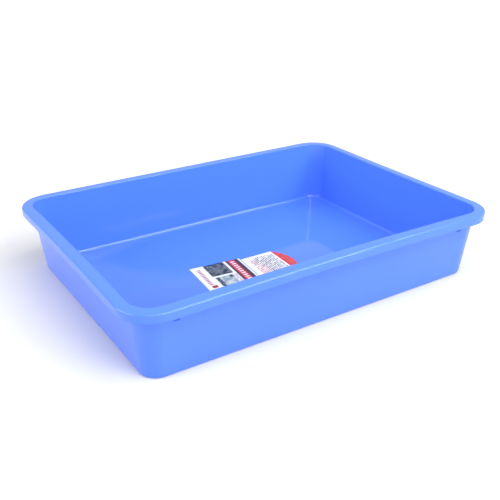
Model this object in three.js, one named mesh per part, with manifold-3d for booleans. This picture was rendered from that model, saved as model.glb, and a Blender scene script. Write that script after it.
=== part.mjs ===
// Open cat litter tray: one moulded polypropylene tray with two stuck-on labels on its floor.
// Millimetres, +Z up, long side along X. The origin is on the underside, at its middle.
import * as THREE from "three";
import { mergeVertices } from "three/addons/utils/BufferGeometryUtils.js";
import Module from "manifold-3d";

const wasm = await Module();
wasm.setup();

// ---- driving dimensions ----

// Rim, measured over its outer faces.
const rimLength = 440;
const rimWidth = 321.5;
const trayHeight = 78.2; // to the rim's inner edge, at the corners
const rimCornerRadius = 35;
const rimThickness = 1.8;
const rimFall = 0.9; // how far the rim's top drops from its inner edge to its outer edge
const rimOuterRadius = 2; // round between the rim's top and its skirt
const rimInnerRadius = 1.6; // round between the rim's top and the inside of the wall
const skirtDrop = 9.9; // from the rim's inner edge to the skirt's lower edge
const skirtThickness = 1.6;
const skirtStandoff = 11.1; // from the skirt's outer face in to the wall, level with the skirt's lower edge

// Walls and floor.
const wallThickness = 2;
const wallDraft = THREE.MathUtils.degToRad(6.3); // lean of the walls, so that trays nest
const floorThickness = 2;
const baseCornerRadius = 18;
const heelRadius = 3; // round between the outside of the wall and the underside
const floorFillet = 4; // round between the floor and the inside of the wall

// Set taken by the walls as the moulding cools: nothing at the floor, all of it at the rim.
const longSideBow = 1.9; // inward, at the middle of each long side
const shortSideBow = 0.9; // inward, at the middle of each short side
const longSideCrown = 0.8; // upward, at the middle of each long side

// Blind catch pockets in the outer face of both long walls, close under the skirt.
const pocketWidth = 6;
const pocketHeight = 3.2;
const pocketDepth = 1;
const pocketFromCorner = 12; // from the start of the rim's corner round to the middle of the pocket
const pocketDrop = 6.3; // from the skirt's lower edge to the top of the pocket

// Labels, lying on the floor.
const labelThickness = 0.3;
const labelClearance = 0.3; // from the floor to the labels, and from one label to the next
const pictureLabel = { length: 64, depth: 66, turn: -5.4 };
const pictureLabelCorner = { x: -66.9, y: 29.5 }; // its back left corner
const careLabel = { length: 42, depth: 57, bulge: 12, turn: -0.5 };
const careLabelStep = 4.3; // how far the care label starts in front of the picture label's back edge

// ---- fineness of the rounds ----
const cornerSteps = 8; // per quarter turn in plan
const roundSteps = 3; // per quarter turn in section
const longSideSteps = 10;
const shortSideSteps = 8;

// ---- outlines ----

// A rounded rectangle as a closed loop of points, anticlockwise, with the same count for every size.
function roundedLoop(halfLength, halfWidth, radius) {
  const corners = [
    [halfLength - radius, radius - halfWidth, -Math.PI / 2, shortSideSteps],
    [halfLength - radius, halfWidth - radius, 0, longSideSteps],
    [radius - halfLength, halfWidth - radius, Math.PI / 2, shortSideSteps],
    [radius - halfLength, radius - halfWidth, Math.PI, longSideSteps],
  ];
  const arcs = corners.map(([x, y, start]) =>
    new THREE.EllipseCurve(x, y, radius, radius, start, start + Math.PI / 2).getPoints(cornerSteps),
  );
  const loop = [];
  arcs.forEach((arc, i) => {
    const sideSteps = corners[i][3];
    const sideEnd = arcs[(i + 1) % arcs.length][0];
    loop.push(...arc);
    for (let k = 1; k < sideSteps; k++) loop.push(arc.at(-1).clone().lerp(sideEnd, k / sideSteps));
  });
  return loop;
}

// Where a point of the straight-sided tray ends up once the walls have taken their set.
function settle(x, y, z) {
  const rise = z / trayHeight;
  const alongLong = 1 - THREE.MathUtils.clamp(x / (rimLength / 2 - rimCornerRadius), -1, 1) ** 2;
  const alongShort = 1 - THREE.MathUtils.clamp(y / (rimWidth / 2 - rimCornerRadius), -1, 1) ** 2;
  const nearLong = Math.abs(y) / (rimWidth / 2);
  const nearShort = Math.abs(x) / (rimLength / 2);
  return [
    x - Math.sign(x) * shortSideBow * rise * alongShort * nearShort,
    y - Math.sign(y) * longSideBow * rise * alongLong * nearLong,
    z + longSideCrown * rise * alongLong * nearLong,
  ];
}

// ---- solids ----

// A closed solid through a stack of loops with equal point counts: its two ends are capped flat.
function loftGeometry(rings) {
  const count = rings[0].length;
  const triangles = [];
  for (let r = 0; r + 1 < rings.length; r++) {
    for (let i = 0; i < count; i++) {
      const j = (i + 1) % count;
      const [a, b] = [r * count + i, r * count + j];
      const [c, d] = [a + count, b + count];
      triangles.push(a, b, d, a, d, c);
    }
  }
  const last = (rings.length - 1) * count;
  for (let i = 1; i + 1 < count; i++) triangles.push(0, i + 1, i, last, last + i, last + i + 1);
  const geometry = new THREE.BufferGeometry();
  geometry.setAttribute("position", new THREE.Float32BufferAttribute(rings.flat(2), 3));
  geometry.setIndex(triangles);
  return geometry;
}

// A three.js geometry as a manifold-3d solid, and back again.
function solidFrom(geometry) {
  const bare = geometry.index ? geometry.toNonIndexed() : geometry.clone();
  for (const name of Object.keys(bare.attributes)) {
    if (name !== "position") bare.deleteAttribute(name);
  }
  const merged = mergeVertices(bare, 1e-4);
  return new wasm.Manifold(
    new wasm.Mesh({
      numProp: 3,
      vertProperties: merged.attributes.position.array,
      triVerts: new Uint32Array(merged.index.array),
    }),
  );
}

function geometryFrom(solid) {
  const mesh = solid.getMesh();
  const geometry = new THREE.BufferGeometry();
  geometry.setAttribute("position", new THREE.BufferAttribute(mesh.vertProperties, 3));
  geometry.setIndex(new THREE.BufferAttribute(mesh.triVerts, 1));
  const flat = geometry.toNonIndexed();
  flat.computeVertexNormals();
  return flat;
}

// ---- the tray ----

// How far a drafted wall face stands in from the rim's outer face, at a height.
const lean = Math.tan(wallDraft);
const skirtBottom = trayHeight - skirtDrop;
const outerWallInset = (z) => skirtStandoff + (skirtBottom - z) * lean;
const innerWallInset = (z) => outerWallInset(z) + wallThickness / Math.cos(wallDraft);

// Points of a quarter-round in section, from one angle to another about a centre.
function sectionArc(inset, z, radius, startAngle, endAngle) {
  const points = [];
  for (let k = 0; k <= roundSteps; k++) {
    const angle = THREE.MathUtils.lerp(startAngle, endAngle, k / roundSteps);
    points.push([inset - radius * Math.cos(angle), z + radius * Math.sin(angle)]);
  }
  return points;
}

function traySection() {
  const down = -Math.PI / 2;
  const up = Math.PI / 2;
  const rimEdge = trayHeight - rimFall;
  const underside = rimEdge - rimThickness;
  const innerRoundZ = trayHeight - rimInnerRadius;
  const filletZ = floorThickness + floorFillet;
  return [
    ...sectionArc(outerWallInset(heelRadius) + heelRadius, heelRadius, heelRadius, down, 0),
    [outerWallInset(underside + rimFall), underside + rimFall],
    [skirtThickness, underside],
    [skirtThickness, skirtBottom],
    [0, skirtBottom],
    ...sectionArc(rimOuterRadius, rimEdge - rimOuterRadius, rimOuterRadius, 0, up),
    ...sectionArc(innerWallInset(innerRoundZ) - rimInnerRadius, innerRoundZ, rimInnerRadius, up, Math.PI),
    ...sectionArc(innerWallInset(filletZ) + floorFillet, filletZ, floorFillet, 0, down),
  ];
}

// Corner radius in plan: concentric with the rim at the top of the wall, set by the base at the floor.
function cornerRadiusAt(inset, z) {
  const concentric = Math.max(rimCornerRadius - inset, 1);
  if (inset < outerWallInset(trayHeight)) return concentric;
  const fromWall = inset - outerWallInset(z);
  const wallTop = rimCornerRadius - outerWallInset(trayHeight);
  return Math.max(THREE.MathUtils.lerp(baseCornerRadius, wallTop, z / trayHeight) - fromWall, 1);
}

function trayGeometry() {
  const rings = traySection().map(([inset, z]) =>
    roundedLoop(rimLength / 2 - inset, rimWidth / 2 - inset, cornerRadiusAt(inset, z)).map((p) =>
      settle(p.x, p.y, z),
    ),
  );
  let tray = solidFrom(loftGeometry(rings));
  for (const sideX of [-1, 1]) {
    for (const sideY of [-1, 1]) tray = tray.subtract(catchPocket(sideX, sideY));
  }
  return geometryFrom(tray);
}

// One blind pocket as a block that reaches its depth into the leaning, bowed wall.
function catchPocket(sideX, sideY) {
  const z = skirtBottom - pocketDrop - pocketHeight / 2;
  const fromMiddle = rimLength / 2 - rimCornerRadius - pocketFromCorner;
  const [x, y] = settle(sideX * fromMiddle, sideY * (rimWidth / 2 - outerWallInset(z)), z);
  const reach = pocketDepth * 2;
  const block = new THREE.BoxGeometry(pocketWidth, reach, pocketHeight);
  block.rotateX(-sideY * wallDraft);
  block.translate(x, y, z);
  return solidFrom(block);
}

// ---- the labels ----

function pictureLabelShape() {
  const { length, depth } = pictureLabel;
  return new THREE.Shape([
    new THREE.Vector2(0, -depth),
    new THREE.Vector2(length, -depth),
    new THREE.Vector2(length, 0),
    new THREE.Vector2(0, 0),
  ]);
}

// Its near side runs along the picture label's right edge, and its far end is a shallow arc.
function careLabelShape() {
  const { length, depth, bulge } = careLabel;
  const arcRadius = (depth ** 2 / 4 + bulge ** 2) / (2 * bulge);
  const halfAngle = Math.asin(depth / 2 / arcRadius);
  const slant = depth * Math.tan(THREE.MathUtils.degToRad(careLabel.turn - pictureLabel.turn));
  const shape = new THREE.Shape();
  shape.moveTo(0, 0);
  shape.lineTo(-slant, -depth);
  shape.lineTo(length, -depth);
  shape.absarc(length + bulge - arcRadius, -depth / 2, arcRadius, -halfAngle, halfAngle, false);
  return shape;
}

// The care label's back left corner: beside the picture label's right edge, and a step down along it.
function careLabelCorner() {
  const turn = THREE.MathUtils.degToRad(pictureLabel.turn);
  const offset = new THREE.Vector2(pictureLabel.length + labelClearance, -careLabelStep);
  return offset.rotateAround(new THREE.Vector2(), turn).add(pictureLabelCorner);
}

// A label lies turned about its back left corner.
function labelMesh(name, shape, corner, turn, material) {
  const geometry = new THREE.ExtrudeGeometry(shape, {
    depth: labelThickness,
    bevelEnabled: false,
    curveSegments: 16,
  });
  const mesh = new THREE.Mesh(geometry, material);
  mesh.name = name;
  mesh.rotation.z = THREE.MathUtils.degToRad(turn);
  mesh.position.set(corner.x, corner.y, floorThickness + labelClearance);
  return mesh;
}

// ---- materials and assembly ----

const polypropylene = new THREE.MeshStandardMaterial({ color: "#6f9ffb", roughness: 0.32, metalness: 0 });
const picturePaper = new THREE.MeshStandardMaterial({ color: "#e9ecf2", roughness: 0.45, metalness: 0 });
const carePaper = new THREE.MeshStandardMaterial({ color: "#f0e6e6", roughness: 0.45, metalness: 0 });

const tray = new THREE.Mesh(trayGeometry(), polypropylene);
tray.name = "litter_tray";

const litterBox = new THREE.Group();
litterBox.add(tray);
litterBox.add(
  labelMesh("picture_label", pictureLabelShape(), pictureLabelCorner, pictureLabel.turn, picturePaper),
  labelMesh("care_label", careLabelShape(), careLabelCorner(), careLabel.turn, carePaper),
);

export default litterBox;
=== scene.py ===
"""Open cat litter tray in glossy moulded polypropylene, with two printed paper labels on its floor.

Everything is in metres, +Z up, long side along X, with the origin in the middle of the underside."""
import math

import bmesh
import bpy
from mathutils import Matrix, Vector


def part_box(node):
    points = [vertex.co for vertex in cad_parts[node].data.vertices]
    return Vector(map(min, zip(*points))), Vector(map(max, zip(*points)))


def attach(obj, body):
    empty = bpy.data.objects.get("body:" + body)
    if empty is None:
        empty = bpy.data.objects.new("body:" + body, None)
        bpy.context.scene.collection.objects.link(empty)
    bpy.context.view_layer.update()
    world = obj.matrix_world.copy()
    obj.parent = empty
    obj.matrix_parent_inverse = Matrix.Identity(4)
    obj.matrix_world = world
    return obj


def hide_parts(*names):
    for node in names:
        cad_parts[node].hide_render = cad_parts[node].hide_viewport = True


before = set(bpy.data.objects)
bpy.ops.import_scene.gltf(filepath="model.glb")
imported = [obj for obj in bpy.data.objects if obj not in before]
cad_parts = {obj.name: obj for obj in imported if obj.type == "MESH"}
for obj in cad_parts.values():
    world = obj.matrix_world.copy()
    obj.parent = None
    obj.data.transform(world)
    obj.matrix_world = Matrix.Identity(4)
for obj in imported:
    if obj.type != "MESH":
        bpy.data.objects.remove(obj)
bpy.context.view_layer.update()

MM = 0.001

# ---- sizes of the tray ----

tray_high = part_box("litter_tray")[1]
half_length = tray_high.x
half_width = tray_high.y
crown = 0.75 * MM  # upward, at the middle of each long side
long_bow = 1.85 * MM  # inward, at the middle of each long side, at the rim
short_bow = 0.88 * MM  # inward, at the middle of each short side, at the rim
rim_height = tray_high.z - crown

rim_corner = 35 * MM
rim_thickness = 1.8 * MM
rim_fall = 0.9 * MM  # from the rim's inner edge to its outer edge
skirt_drop = 9.9 * MM  # from the rim's inner edge to the skirt's lower edge
skirt_thickness = 1.6 * MM
skirt_standoff = 11.1 * MM  # from the skirt in to the wall, level with the skirt's lower edge
wall_thickness = 2 * MM
wall_draft = math.radians(6.3)
floor_thickness = 2 * MM
base_corner = 18 * MM

skirt_bottom = rim_height - skirt_drop
rim_edge = rim_height - rim_fall
underside_height = rim_edge - rim_thickness
straight_x = half_length - rim_corner
straight_y = half_width - rim_corner

# Blind catch pockets in both long walls, close under the skirt.
pocket_x = straight_x - 12 * MM
pocket_width = 6 * MM
pocket_top = skirt_bottom - 6.3 * MM
pocket_height = 3.2 * MM
pocket_depth = 1.3 * MM

# Rounded edges: the radius, and the number of faces round the edge.
base_round = (3 * MM, 6)  # under the base
floor_round = (4 * MM, 8)  # where the floor runs up into the walls
wall_top_round = (1.2 * MM, 4)  # where the outside of the walls meets the rim
skirt_root_round = (0.8 * MM, 4)  # where the inside of the skirt meets the rim
skirt_edge_round = (0.45 * MM, 3)  # both lower edges of the skirt
rim_outer_round = (2 * MM, 8)
rim_inner_round = (1.6 * MM, 6)
pocket_round = (0.3 * MM, 3)

corner_faces = 20  # round one corner
outline_points = 4 * (corner_faces + 1)
long_strips = 24  # along a long side, so that it can bow
short_strips = 14

# ---- sizes of the labels ----

paper_thickness = 0.12 * MM
glue_thickness = 0.05 * MM
paper_ripple = 0.2 * MM  # highest less lowest, where the paper isn't pressed down
ripple_size = 22 * MM
paper_grid = 4 * MM
corner_nip = (0.8 * MM, 4)  # radius and faces, as for the rounded edges
end_faces = 192  # round the whole disc that the care label's end is cut from
picture_label = {"length": 64 * MM, "depth": 66 * MM, "turn": math.radians(-5.4)}
care_label = {"length": 42 * MM, "depth": 57 * MM, "bulge": 12 * MM, "turn": math.radians(-0.5)}
care_label["slant"] = care_label["depth"] * math.tan(care_label["turn"] - picture_label["turn"])


# ---- edit-mode helpers ----


def start_piece(name):
    """An empty mesh object at the origin, open in edit mode."""
    bpy.ops.object.select_all(action="DESELECT")
    piece = bpy.data.objects.new(name, bpy.data.meshes.new(name))
    bpy.context.scene.collection.objects.link(piece)
    bpy.context.view_layer.objects.active = piece
    piece.select_set(True)
    bpy.ops.object.mode_set(mode="EDIT")
    return piece


def pick(kind, test):
    """Selects the verts, edges or faces of the open mesh that pass the test, and nothing else."""
    modes = {"verts": "VERT", "edges": "EDGE", "faces": "FACE"}
    bpy.ops.mesh.select_mode(type=modes[kind])
    bpy.ops.mesh.select_all(action="DESELECT")
    mesh = bmesh.from_edit_mesh(bpy.context.object.data)
    for part in getattr(mesh, kind):
        if test(part):
            part.select_set(True)
    mesh.select_flush_mode()
    bmesh.update_edit_mesh(bpy.context.object.data)


def cut(point, normal, picked=False, clear=False):
    """A straight cut through the whole open mesh, or only through what is picked.

    The normal has unit length, because the operator's tolerance grows as it gets shorter."""
    if not picked:
        bpy.ops.mesh.select_all(action="SELECT")
    bpy.ops.mesh.bisect(plane_co=point, plane_no=normal, clear_outer=clear)


def folded(edge, least=math.radians(20)):
    return len(edge.link_faces) == 2 and edge.calc_face_angle() > least


def round_over(height, radius, faces):
    """Rounds the folded edges that run level at a height."""
    tolerance = 0.02 * MM
    folds = []

    def at_height(edge):
        level = all(abs(v.co.z - height) < tolerance for v in edge.verts)
        if level and folded(edge):
            folds.append(edge.calc_face_angle())
        return level and folded(edge)

    pick("edges", at_height)
    bpy.ops.mesh.bevel(offset=radius * math.tan(max(folds) / 2), segments=faces, affect="EDGES")


def finish_piece(piece, material):
    """Gives the piece its material and smooth shading, and puts it on its body."""
    piece.data.materials.append(material)
    bpy.ops.object.shade_smooth_by_angle(angle=math.radians(40))
    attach(piece, "root")


def apply_modifier(piece, kind, **settings):
    modifier = piece.modifiers.new(kind.lower(), kind)
    for name, value in settings.items():
        setattr(modifier, name, value)
    bpy.context.view_layer.objects.active = piece
    bpy.ops.object.modifier_apply(modifier=modifier.name)


# ---- the tray ----


def outer_inset(height):
    """How far the outside of the wall stands in from the skirt."""
    return skirt_standoff + (skirt_bottom - height) * math.tan(wall_draft)


def inner_inset(height):
    return outer_inset(height) + wall_thickness / math.cos(wall_draft)


def wall_corner(inset, height):
    """Corner radius of a wall: set by the base below, concentric with the rim above."""
    top = rim_corner - outer_inset(rim_height)
    rise = height / rim_height
    return base_corner + (top - base_corner) * rise - (inset - outer_inset(height))


def add_outline(inset, height, radius):
    """A level rounded rectangle of edges: a plane with its corners bevelled, less its face."""
    before = len(bmesh.from_edit_mesh(bpy.context.object.data).verts)
    bpy.ops.mesh.select_mode(type="VERT")
    bpy.ops.mesh.select_all(action="DESELECT")
    bpy.ops.mesh.primitive_plane_add(size=2, location=(0, 0, height))
    bpy.ops.transform.resize(value=(half_length - inset, half_width - inset, 1))
    bpy.ops.mesh.bevel(offset=radius, segments=corner_faces, affect="VERTICES")
    pick("faces", lambda f: all(v.index >= before for v in f.verts))
    bpy.ops.mesh.delete(type="ONLY_FACE")


def pick_outlines(first, last):
    start, end = first * outline_points, (last + 1) * outline_points
    pick("verts", lambda v: start <= v.index < end)


def tray_outlines():
    """The outlines that the tray's skin runs through, from the underside up and in to the floor."""
    base_inset = outer_inset(0)
    wall_top_inset = outer_inset(underside_height)
    mouth_inset = inner_inset(rim_height)
    floor_inset = inner_inset(floor_thickness)
    return [
        (base_inset, 0, wall_corner(base_inset, 0)),
        (wall_top_inset, underside_height + rim_fall, rim_corner - wall_top_inset),
        (skirt_thickness, underside_height, rim_corner - skirt_thickness),
        (skirt_thickness, skirt_bottom, rim_corner - skirt_thickness),
        (0, skirt_bottom, rim_corner),
        (0, rim_edge, rim_corner),
        (mouth_inset, rim_height, rim_corner - mouth_inset),
        (floor_inset, floor_thickness, wall_corner(floor_inset, floor_thickness)),
    ]


def sink_pocket(side_x, side_y):
    """A blind pocket: a patch of a long wall's outside, cut free, pushed in and softened all round."""
    middle = side_x * pocket_x
    reach = pocket_width / 2
    pocket_bottom = pocket_top - pocket_height
    least_area = pocket_width * pocket_height / 2
    tolerance = 0.1 * MM

    def on_wall(face):
        centre = face.calc_center_median()
        faces_out = face.normal.y * side_y > 0.9
        behind_skirt = 0 < centre.y * side_y < half_width - skirt_standoff
        in_strip = abs(centre.x - middle) < reach
        return faces_out and behind_skirt and in_strip and face.calc_area() > least_area

    for height in (pocket_top, pocket_bottom):
        pick("faces", on_wall)
        cut((0, 0, height), (0, 0, 1), picked=True)

    def patch(face):
        return on_wall(face) and pocket_bottom < face.calc_center_median().z < pocket_top

    pick("faces", patch)
    push_in = {"value": (0, -side_y * pocket_depth, 0)}
    bpy.ops.mesh.extrude_region_move(TRANSFORM_OT_translate=push_in)

    def near_pocket(edge):
        centre = (edge.verts[0].co + edge.verts[1].co) / 2
        aside = abs(centre.x - middle) < reach + tolerance
        level = pocket_bottom - tolerance < centre.z < pocket_top + tolerance
        return aside and level and centre.y * side_y > 0 and folded(edge, math.radians(50))

    pick("edges", near_pocket)
    radius, faces = pocket_round
    bpy.ops.mesh.bevel(offset=radius, segments=faces, affect="EDGES")


def take_set(piece):
    """Bows all four sides in and crowns the long ones, none of it at the floor and all at the rim."""
    cage_data = bpy.data.lattices.new("moulding_set")
    cage = bpy.data.objects.new("moulding_set", cage_data)
    bpy.context.scene.collection.objects.link(cage)
    cage_data.points_u = cage_data.points_v = 5
    cage_data.points_w = 2
    cage_data.interpolation_type_u = cage_data.interpolation_type_v = "KEY_CARDINAL"
    cage_data.interpolation_type_w = "KEY_LINEAR"
    cage.location.z = rim_height / 2
    cage.scale = (2 * straight_x, 2 * straight_y, rim_height)
    for point in cage_data.points:
        if point.co.z > 0:
            along, across = 2 * point.co.x, 2 * point.co.y
            point.co_deform = (
                point.co.x - short_bow * along * (1 - across**2) / cage.scale.x,
                point.co.y - long_bow * across * (1 - along**2) / cage.scale.y,
                point.co.z + crown * abs(across) * (1 - along**2) / cage.scale.z,
            )
    bpy.context.view_layer.update()
    apply_modifier(piece, "LATTICE", object=cage)
    bpy.data.objects.remove(cage)


def make_tray(material):
    """The tray in one shot: outlines bridged and closed, edges rounded, pockets sunk, sides bowed."""
    tray = start_piece("tray")
    outlines = tray_outlines()
    for number, outline in enumerate(outlines):
        add_outline(*outline)
        if number:
            pick_outlines(number - 1, number)
            bpy.ops.mesh.bridge_edge_loops()
    for end in (0, len(outlines) - 1):
        pick_outlines(end, end)
        bpy.ops.mesh.edge_face_add()
    bpy.ops.mesh.select_all(action="SELECT")
    bpy.ops.mesh.normals_make_consistent(inside=False)

    round_over(0, *base_round)
    round_over(floor_thickness, *floor_round)
    round_over(underside_height + rim_fall, *wall_top_round)
    round_over(underside_height, *skirt_root_round)
    round_over(skirt_bottom, *skirt_edge_round)
    round_over(rim_edge, *rim_outer_round)
    round_over(rim_height, *rim_inner_round)

    for step in range(1, long_strips):
        cut((pocket_x * (2 * step / long_strips - 1), 0, 0), (1, 0, 0))
    for step in range(1, short_strips):
        cut((0, straight_y * (2 * step / short_strips - 1), 0), (0, 1, 0))
    for side in (-1, 1):
        for edge in (-1, 1):
            cut((side * pocket_x + edge * pocket_width / 2, 0, 0), (1, 0, 0))
    for side_x in (-1, 1):
        for side_y in (-1, 1):
            sink_pocket(side_x, side_y)

    bpy.ops.object.mode_set(mode="OBJECT")
    take_set(tray)
    finish_piece(tray, material)
    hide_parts("litter_tray")


# ---- the labels ----


def label_corner(node, label):
    """Back left corner of a label that is turned clockwise, from its place in the frame."""
    low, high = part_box(node)
    turn = label["turn"]
    reach = label.get("slant", 0) * math.cos(turn) - label["depth"] * math.sin(turn)
    return Vector((low.x + reach, high.y, 0))


def trim_rectangle(label):
    """A sheet cut square, its corners just nipped off."""
    length, depth = label["length"], label["depth"]
    radius, faces = corner_nip
    bpy.ops.mesh.primitive_plane_add(size=1, location=(length / 2, -depth / 2, 0))
    bpy.ops.transform.resize(value=(length, depth, 1))
    bpy.ops.mesh.bevel(offset=radius, segments=faces, affect="VERTICES")


def trim_round_end(label):
    """A disc cut straight on three sides, the left one slanting, which leaves one round end."""
    depth, bulge = label["depth"], label["bulge"]
    radius = (depth**2 / 4 + bulge**2) / (2 * bulge)
    middle = (label["length"] + bulge - radius, -depth / 2, 0)
    bpy.ops.mesh.primitive_circle_add(
        vertices=end_faces, radius=radius, fill_type="NGON", location=middle
    )
    cut((0, 0, 0), Vector((-depth, label["slant"], 0)).normalized(), clear=True)
    cut((0, 0, 0), (0, 1, 0), clear=True)
    cut((0, -depth, 0), (0, -1, 0), clear=True)


def make_label(name, node, label, trim, material):
    """A paper label: trimmed flat, cut into a grid, turned, placed, rippled and thickened."""
    paper = start_piece(name)
    trim(label)
    for step in range(1, math.ceil((label["length"] + label.get("bulge", 0)) / paper_grid)):
        cut((step * paper_grid, 0, 0), (1, 0, 0))
    for step in range(1, math.ceil(label["depth"] / paper_grid)):
        cut((0, -step * paper_grid, 0), (0, 1, 0))
    bpy.ops.mesh.select_all(action="SELECT")
    bpy.ops.transform.rotate(value=-label["turn"], orient_axis="Z", center_override=(0, 0, 0))
    height = floor_thickness + glue_thickness + paper_ripple / 2
    corner = label_corner(node, label)
    bpy.ops.transform.translate(value=(corner.x, corner.y, height))
    bpy.ops.object.mode_set(mode="OBJECT")

    swells = bpy.data.textures.new(name, "CLOUDS")
    swells.noise_scale = ripple_size
    apply_modifier(
        paper,
        "DISPLACE",
        texture=swells,
        strength=paper_ripple,
        texture_coords="GLOBAL",
        direction="Z",
    )
    apply_modifier(paper, "SOLIDIFY", thickness=paper_thickness, offset=1)
    finish_piece(paper, material)
    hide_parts(node)


# ---- materials ----


def linear(colour):
    """An sRGB hex colour as linear red, green, blue and an alpha of 1."""
    parts = [int(colour[i : i + 2], 16) / 255 for i in (1, 3, 5)]
    return [c / 12.92 if c <= 0.04045 else ((c + 0.055) / 1.055) ** 2.4 for c in parts] + [1]


def add(tree, kind, inputs=None, **settings):
    """Adds one shader node: its settings, then its inputs, each a value or another's output."""
    made = tree.nodes.new("ShaderNode" + kind)
    for name, value in settings.items():
        setattr(made, name, value)
    for name, value in (inputs or {}).items():
        if isinstance(value, bpy.types.NodeSocket):
            tree.links.new(value, made.inputs[name])
        else:
            made.inputs[name].default_value = value
    return made


def new_material(name):
    material = bpy.data.materials.new(name)
    material.use_nodes = True
    material.node_tree.nodes.clear()
    return material, material.node_tree


def moulded_polypropylene():
    """Injection-moulded polypropylene with masterbatch colour, from a polished mould.

    The eye gets a smooth waxy gloss, broken softly by the slow waves that walls take as they cool."""
    pigment_cloud = 45 * MM
    polish_cloud = 30 * MM
    cooling_wave = 70 * MM
    wave_height = 0.18 * MM
    mould_grain = 1.4 * MM
    grain_height = 0.004 * MM

    material, tree = new_material("moulded_polypropylene")
    place = add(tree, "TexCoord").outputs["Object"]
    pigment = add(tree, "TexNoise", {"Vector": place, "Scale": 1 / pigment_cloud, "Detail": 3.0})
    shades = {"Factor": pigment.outputs["Fac"], "A": linear("#4c79f8"), "B": linear("#4f7cf9")}
    colour = add(tree, "Mix", shades, data_type="RGBA").outputs["Result"]

    polish = add(tree, "TexNoise", {"Vector": place, "Scale": 1 / polish_cloud, "Detail": 4.0})
    spread = {"From Min": 0.3, "From Max": 0.7, "To Min": 0.05, "To Max": 0.09}
    gloss = add(tree, "MapRange", {"Value": polish.outputs["Fac"], **spread}).outputs["Result"]

    waves = add(tree, "TexNoise", {"Vector": place, "Scale": 1 / cooling_wave, "Detail": 1.0})
    slow = {"Height": waves.outputs["Fac"], "Strength": 1.0, "Distance": wave_height}
    bent = add(tree, "Bump", slow).outputs["Normal"]
    grain = add(tree, "TexNoise", {"Vector": place, "Scale": 1 / mould_grain, "Detail": 2.0})
    fine = {"Height": grain.outputs["Fac"], "Strength": 1.0, "Distance": grain_height, "Normal": bent}
    normal = add(tree, "Bump", fine).outputs["Normal"]

    finish = {"Base Color": colour, "Roughness": gloss, "Metallic": 0.0, "IOR": 1.49, "Normal": normal}
    shader = add(tree, "BsdfPrincipled", finish).outputs["BSDF"]
    add(tree, "OutputMaterial", {"Surface": shader})
    return material


def printed_lines(tree, along, down, pitch):
    """Rows of unreadable print: lines across the label, a pitch apart, broken at chance places.

    Returns 1 on the ink and 0 between."""
    line_share = 0.55  # of the pitch
    row_shift = 7.3  # between one row's breaks and the next row's
    breaks_per_pitch = 1.6
    least_chance = 0.45  # for ink
    rows = add(tree, "Math", {0: along, 1: pitch}, operation="DIVIDE").outputs[0]
    row = add(tree, "Math", {0: rows}, operation="FLOOR").outputs[0]
    into_row = add(tree, "Math", {0: rows}, operation="FRACT").outputs[0]
    on_line = add(tree, "Math", {0: into_row, 1: line_share}, operation="LESS_THAN").outputs[0]
    apart = add(tree, "Math", {0: row, 1: row_shift}, operation="MULTIPLY").outputs[0]
    spot = add(tree, "CombineXYZ", {"X": apart, "Y": down}).outputs[0]
    breaks = {"Vector": spot, "Scale": breaks_per_pitch / pitch, "Detail": 1.0}
    chance = add(tree, "TexNoise", breaks).outputs["Fac"]
    inked = add(tree, "Math", {0: chance, 1: least_chance}, operation="GREATER_THAN").outputs[0]
    return add(tree, "Math", {0: on_line, 1: inked}, operation="MULTIPLY").outputs[0]


def mottled(tree, place, grain, dark, light):
    """A soft abstract picture: patches of two inks, a few millimetres across."""
    cloud = {"Vector": place, "Scale": 1 / grain, "Detail": 3.0}
    blotch = add(tree, "TexNoise", cloud).outputs["Fac"]
    spread = {"Value": blotch, "From Min": 0.42, "From Max": 0.58}
    share = add(tree, "MapRange", spread).outputs["Result"]
    inks = {"Factor": share, "A": linear(dark), "B": linear(light)}
    return add(tree, "Mix", inks, data_type="RGBA").outputs["Result"]


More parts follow.
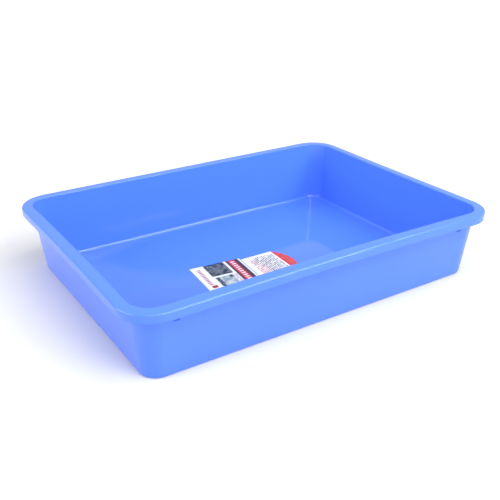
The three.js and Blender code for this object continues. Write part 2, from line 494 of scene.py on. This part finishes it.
def coated_paper(name, corner, turn, lean, patches):
    """Coated label paper, offset printed and varnished.

    The eye gets a bright white sheet with a slight sheen, crisp inks and rows too small to read.
    A patch is its extent along and down the label in millimetres, its ink and its lines' pitch,
    or None if it is solid. An ink is a colour, or the grain and the two colours of a mottle.
    The print leans along the label by a share of the way down it."""
    fibre_cloud = 2.5  # in millimetres, as is all that is placed from the label's corner
    material, tree = new_material(name)
    place = add(tree, "TexCoord").outputs["Object"]
    to_label = {
        "Vector": place,
        "Location": corner,
        "Rotation": (0, 0, turn),
        "Scale": (MM, MM, MM),
    }
    spot = add(tree, "Mapping", to_label, vector_type="TEXTURE").outputs["Vector"]
    axes = add(tree, "SeparateXYZ", {"Vector": spot})
    flipped = {0: axes.outputs["Y"], 1: -1.0}
    down = add(tree, "Math", flipped, operation="MULTIPLY").outputs[0]
    leaning = {0: down, 1: -lean, 2: axes.outputs["X"]}
    along = add(tree, "Math", leaning, operation="MULTIPLY_ADD").outputs[0]

    grain = {"Vector": spot, "Scale": 1 / fibre_cloud, "Detail": 4.0}
    fibre = add(tree, "TexNoise", grain).outputs["Fac"]
    sheet = {"Factor": fibre, "A": linear("#dcdee4"), "B": linear("#d0d3da")}
    colour = add(tree, "Mix", sheet, data_type="RGBA").outputs["Result"]
    for (left, right, back, front), ink, pitch in patches:
        if isinstance(ink, tuple):
            ink = mottled(tree, spot, *ink)
        else:
            ink = linear(ink)
        masks = []
        for value, low, high in ((along, left, right), (down, back, front)):
            ends = {0: value, 1: (low + high) / 2, 2: (high - low) / 2}
            masks.append(add(tree, "Math", ends, operation="COMPARE").outputs[0])
        if pitch:
            masks.append(printed_lines(tree, along, down, pitch))
        mask = masks[0]
        for other in masks[1:]:
            mask = add(tree, "Math", {0: mask, 1: other}, operation="MULTIPLY").outputs[0]
        over = {"Factor": mask, "A": colour, "B": ink}
        colour = add(tree, "Mix", over, data_type="RGBA").outputs["Result"]

    nap = {"Height": fibre, "Strength": 1.0, "Distance": 0.02 * MM}
    normal = add(tree, "Bump", nap).outputs["Normal"]
    finish = {"Base Color": colour, "IOR": 1.5, "Roughness": 0.34, "Normal": normal}
    shader = add(tree, "BsdfPrincipled", finish).outputs["BSDF"]
    add(tree, "OutputMaterial", {"Surface": shader})
    return material


def picture_print(corner):
    """White head with a row of small marks, two pictures, a line block and a banded right side."""
    patches = [
        ((6, 12.5, 48.5, 54.5), "#96281c", None),  # red square on the head
        ((16, 42, -1, 29.6), (5.0, "#12181c", "#5f6868"), None),  # back picture
        ((19, 27, 3, 20), (2.2, "#2b3439", "#84897f"), 4.0),  # paler strokes in it
        ((17.6, 38.8, 33, 60), (6.0, "#7f909c", "#b3bdb8"), None),  # front picture
        ((17.6, 22.4, 33, 60), (2.5, "#0c151c", "#56646f"), None),  # its dark left side
        ((34, 38.8, 33, 40), (2.0, "#0c151c", "#6f7b83"), None),  # its dark right corner
        ((39.4, 44.4, 33, 56), "#77705f", 1.5),  # line block
        ((45.1, 61.2, -1, 67), "#33211d", None),  # dark band
        ((47.6, 56.6, 0, 67), "#aa262c", None),  # red band on it
        ((63.1, 64, -1, 67), "#8ea3d2", None),  # thin blue-grey edge: painted shadow line where the care label meets this one
    ]
    for number in range(12):  # pale blocks on the red band
        back = 4 + 5 * number
        patches.append(((49.8, 54.8, back, back + 2.7), "#e9cfce", None))
    for number in range(11):  # small marks on the head
        back = 7 + 3.7 * number
        patches.append(((5.4, 9.8, back, back + 2.1), "#9a4236", None))
    return coated_paper("coated_picture_paper", corner, picture_label["turn"], lean=0, patches=patches)


def care_print(corner):
    """Pale block of close lines, some of them warm or green, and a red round end."""
    pitch = 2.7
    lean = -0.03
    patches = [
        ((2.5, 41, -1, 58), "#d9d7d8", None),  # pale block
        ((6, 12, 8, 24), "#8a3a38", pitch),  # red lines, back left
        ((5, 17, 26, 54), "#b0603f", pitch),  # orange lines, front left
        ((12, 32, 5, 30), "#26272f", pitch),  # black lines, back middle
        ((17, 32, 30, 54), "#3c3e46", pitch),  # grey lines, front middle
        ((32, 40, 6, 54), "#47705f", pitch),  # green lines
        ((42, 70, -2, 60), (9.0, "#b82a1a", "#c44430"), None),  # red round end
    ]
    return coated_paper("coated_care_paper", corner, care_label["turn"], lean, patches)


# ---- stage, light and camera ----

tray_middle = (0, 0, 0.04)


def make_stage():
    """A pale, dull floor, wide enough to fill the view from every side."""
    bpy.ops.object.select_all(action="DESELECT")
    bpy.ops.mesh.primitive_plane_add(size=16, location=(0, 0, 0))
    floor = bpy.context.object
    floor.name = "studio_floor"
    material, tree = new_material("pale_studio_floor")
    shader = add(tree, "BsdfDiffuse", {"Color": linear("#d9d9da")}).outputs["BSDF"]
    add(tree, "OutputMaterial", {"Surface": shader})
    floor.data.materials.append(material)


def add_softbox(name, place, width, height, radiance, aim=tray_middle, spread=180):
    """A rectangular softbox; its radiance is 1 where a white surface would just show white.

    A grid on its face narrows its light to the spread in degrees."""
    data = bpy.data.lights.new(name, "AREA")
    data.shape = "RECTANGLE"
    data.size = width
    data.size_y = height
    data.spread = math.radians(spread)
    data.energy = radiance * math.pi * width * height
    light = bpy.data.objects.new(name, data)
    light.location = place
    direction = Vector(aim) - Vector(place)
    light.rotation_euler = direction.to_track_quat("-Z", "Y").to_euler()
    bpy.context.scene.collection.objects.link(light)


def make_light():
    """A pale tent, two strips and two boxes in front, a box at the left and one over the back floor."""
    world = bpy.data.worlds.new("light_tent")
    world.use_nodes = True
    bpy.context.scene.world = world
    tent = world.node_tree.nodes["Background"]
    tent.inputs["Color"].default_value = (1, 1, 1, 1)
    tent.inputs["Strength"].default_value = 0.68
    add_softbox("front_strip", (0.45, -0.75, 1.15), width=1.8, height=0.24, radiance=9)
    add_softbox("top_strip", (0.1, -0.35, 1.5), width=1.6, height=0.2, radiance=4.6)
    add_softbox("high_box", (-0.2, -1.0, 2.2), width=1.2, height=0.9, radiance=2)
    add_softbox("front_box", (0.7, -1.8, 1.0), width=1.4, height=0.45, radiance=13)
    add_softbox("left_box", (-1.5, 0.35, 0.65), width=1.5, height=1, radiance=3.6)
    below = (1.4, 2.001, 0)  # a millimetre off, which settles how the box is turned
    add_softbox(
        "backdrop_box", (1.4, 2.0, 2.2), width=2.4, height=1.8, radiance=2, aim=below, spread=70
    )
    bpy.context.scene.view_settings.view_transform = "Standard"


def make_camera():
    """A view down into the tray from its front left."""
    azimuth, elevation = math.radians(-32.81), math.radians(25.5)
    distance = 0.7818
    target = Vector((-0.0241, -0.0332, 0.04125))
    level = math.cos(elevation)
    back = Vector((math.sin(azimuth) * level, -math.cos(azimuth) * level, math.sin(elevation)))
    data = bpy.data.cameras.new("camera")
    data.sensor_width = 36
    data.lens = 51.53
    data.clip_start = 0.01
    camera = bpy.data.objects.new("camera", data)
    camera.location = target + back * distance
    camera.rotation_euler = (-back).to_track_quat("-Z", "Y").to_euler()
    bpy.context.scene.collection.objects.link(camera)
    bpy.context.scene.camera = camera


make_camera()
make_stage()
make_light()
make_tray(moulded_polypropylene())
make_label(
    "picture_sticker",
    "picture_label",
    picture_label,
    trim_rectangle,
    picture_print(label_corner("picture_label", picture_label)),
)
make_label(
    "care_sticker",
    "care_label",
    care_label,
    trim_round_end,
    care_print(label_corner("care_label", care_label)),
)
